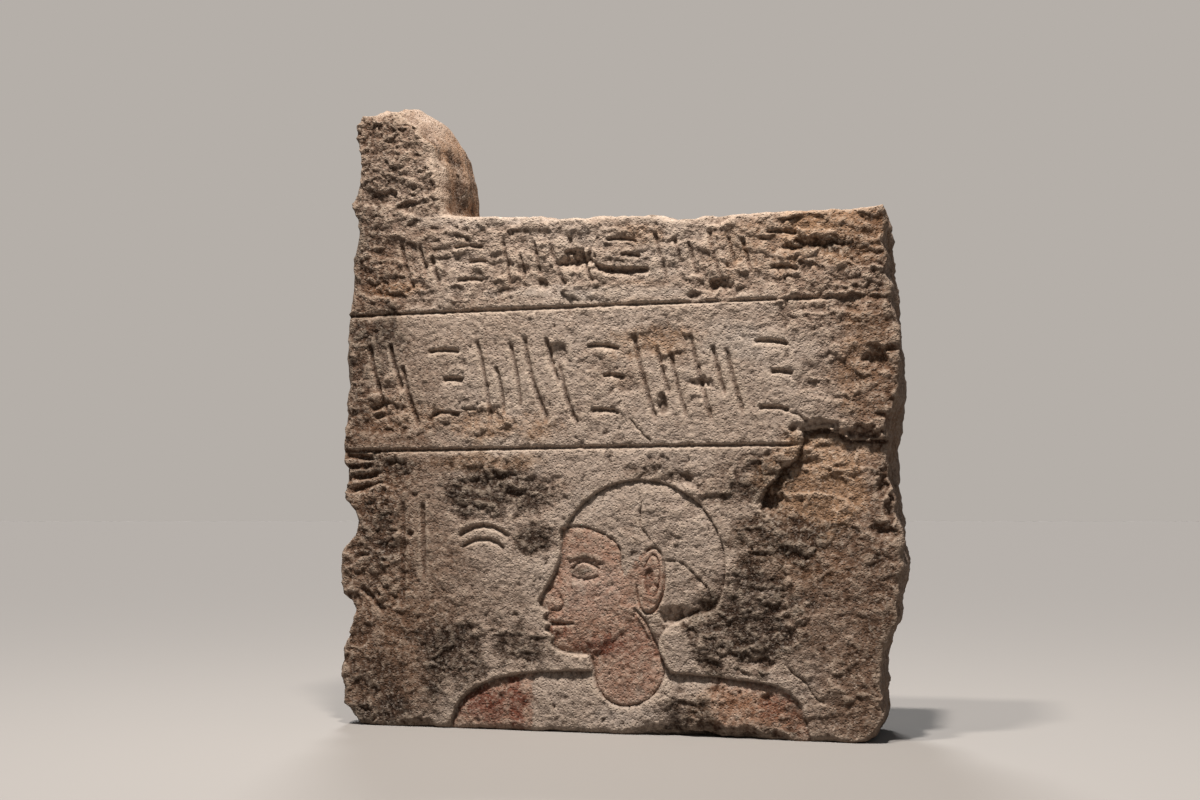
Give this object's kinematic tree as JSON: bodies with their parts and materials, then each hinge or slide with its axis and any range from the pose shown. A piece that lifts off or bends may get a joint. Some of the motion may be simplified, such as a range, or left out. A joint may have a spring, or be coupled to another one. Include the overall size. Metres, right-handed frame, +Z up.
{
  "type": "carved stone stele",
  "caption": "Broken limestone slab with a stump at its upper left corner, ruled bands of tool strokes and a man's head and shoulders in sunk relief.",
  "frame": {"origin": "middle of the flat underside on which the slab stands", "axes": "+X across the carved face to the viewer's right, +Y from the carved face towards the back, +Z up"},
  "size_m": [0.48, 0.11, 0.542],
  "materials": {
    "limestone": "matte"
  },
  "bodies": {
    "root": {"stele": "limestone"}
  },
  "joints": []
}
